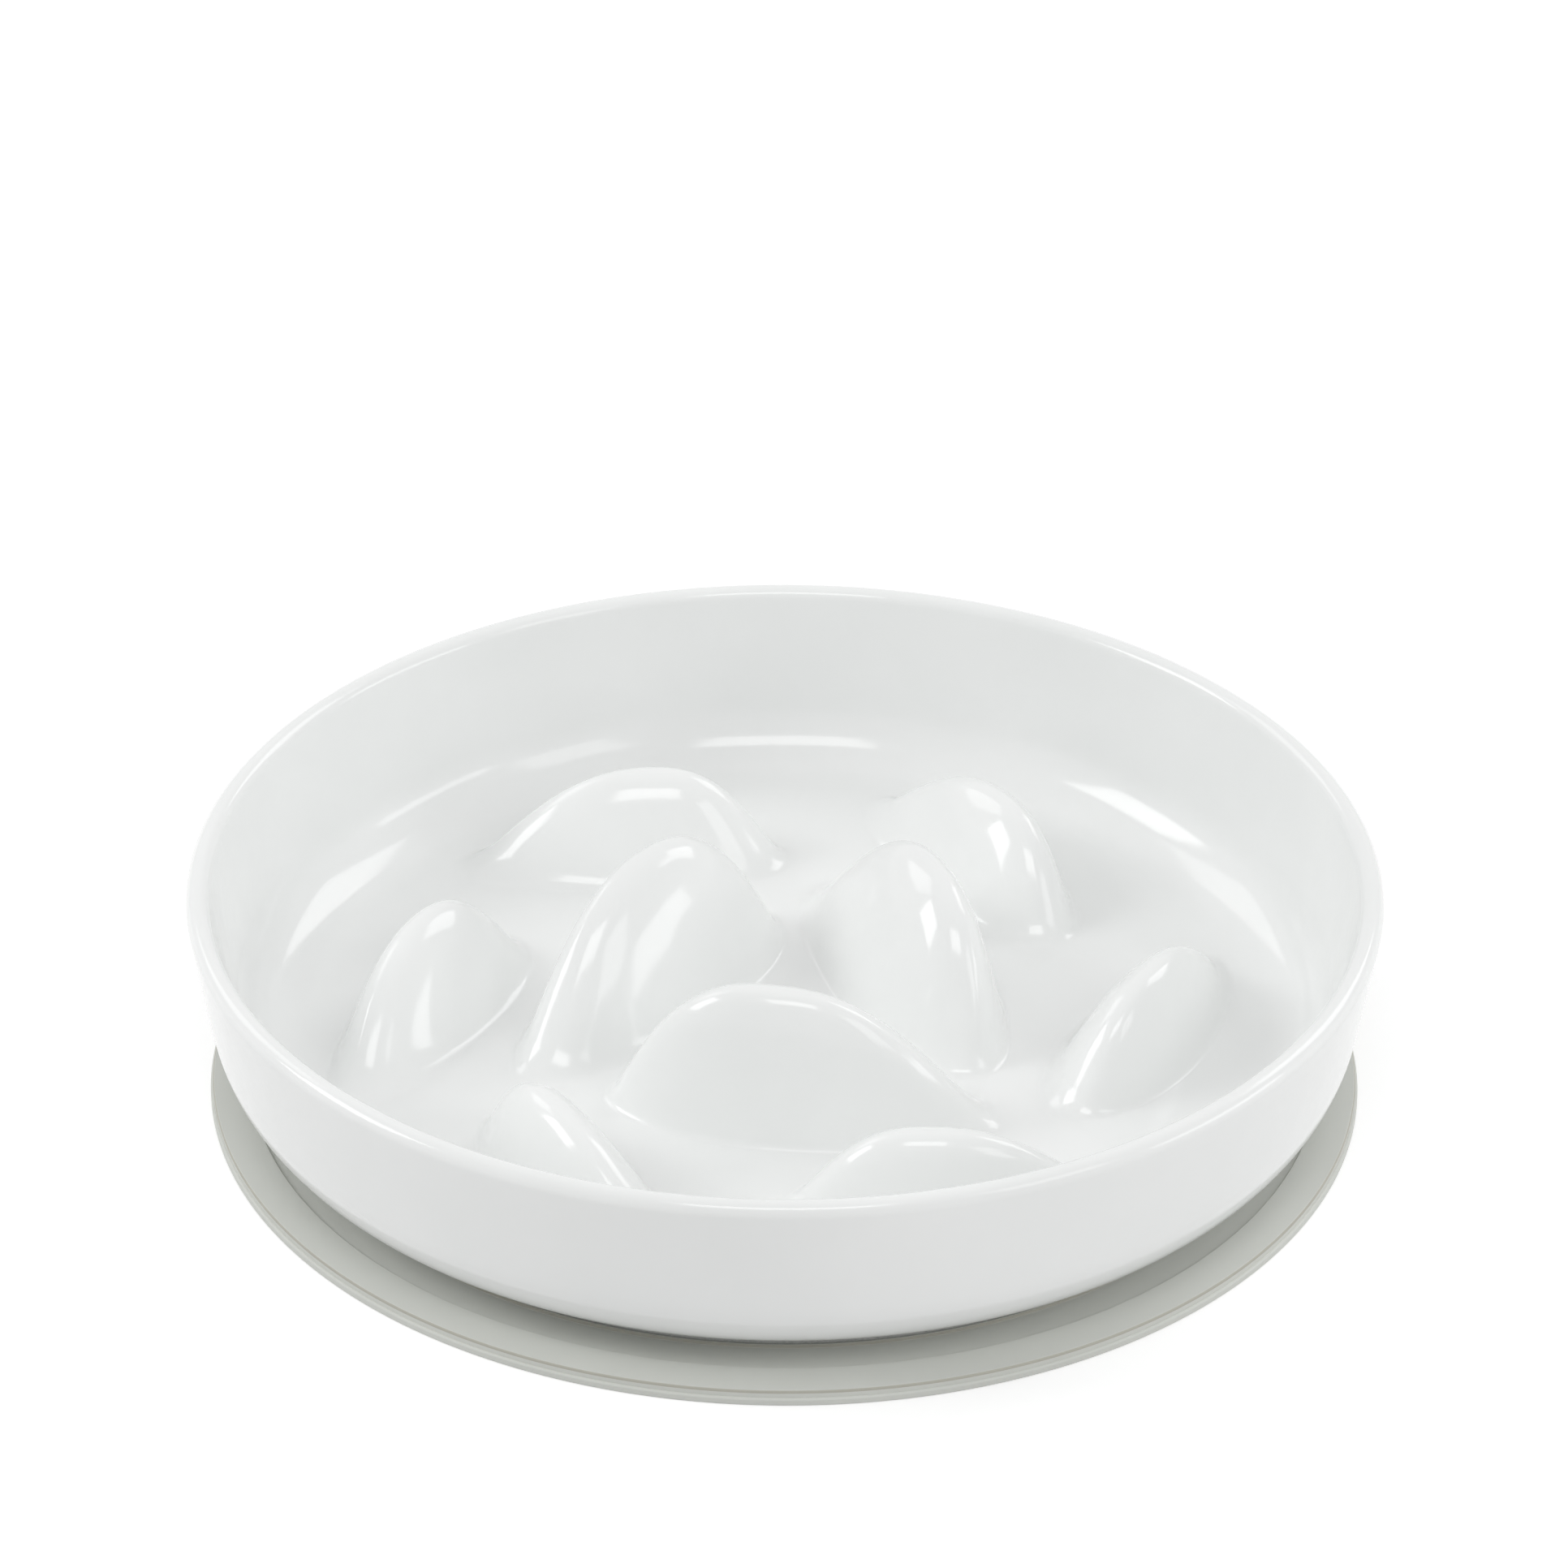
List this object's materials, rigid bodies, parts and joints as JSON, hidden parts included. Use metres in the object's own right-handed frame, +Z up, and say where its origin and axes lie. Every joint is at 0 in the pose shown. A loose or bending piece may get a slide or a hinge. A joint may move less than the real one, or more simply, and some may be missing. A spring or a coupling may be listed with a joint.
{
  "type": "slow feeder bowl",
  "caption": "Round glazed ceramic slow feeder bowl with swirled mounds on its floor, standing on a round ribbed silicone mat with a hanging hole.",
  "frame": {"origin": "centre of the mat's underside, which lies on the floor", "axes": "+Z up out of the bowl, -Y towards the viewer of the picture, +X to the viewer's right"},
  "size_m": [0.216, 0.216, 0.0428],
  "materials": {
    "bowl": "glossy white glaze",
    "mat": "matt warm grey silicone"
  },
  "bodies": {
    "mat": {"mat": "mat"},
    "bowl": {"bowl": "bowl"}
  },
  "joints": [
    {"name": "bowl_lift", "type": "slide", "parent": "mat", "child": "bowl", "axis": [0, 0, 1], "range_m": [0, 0.0765]}
  ]
}
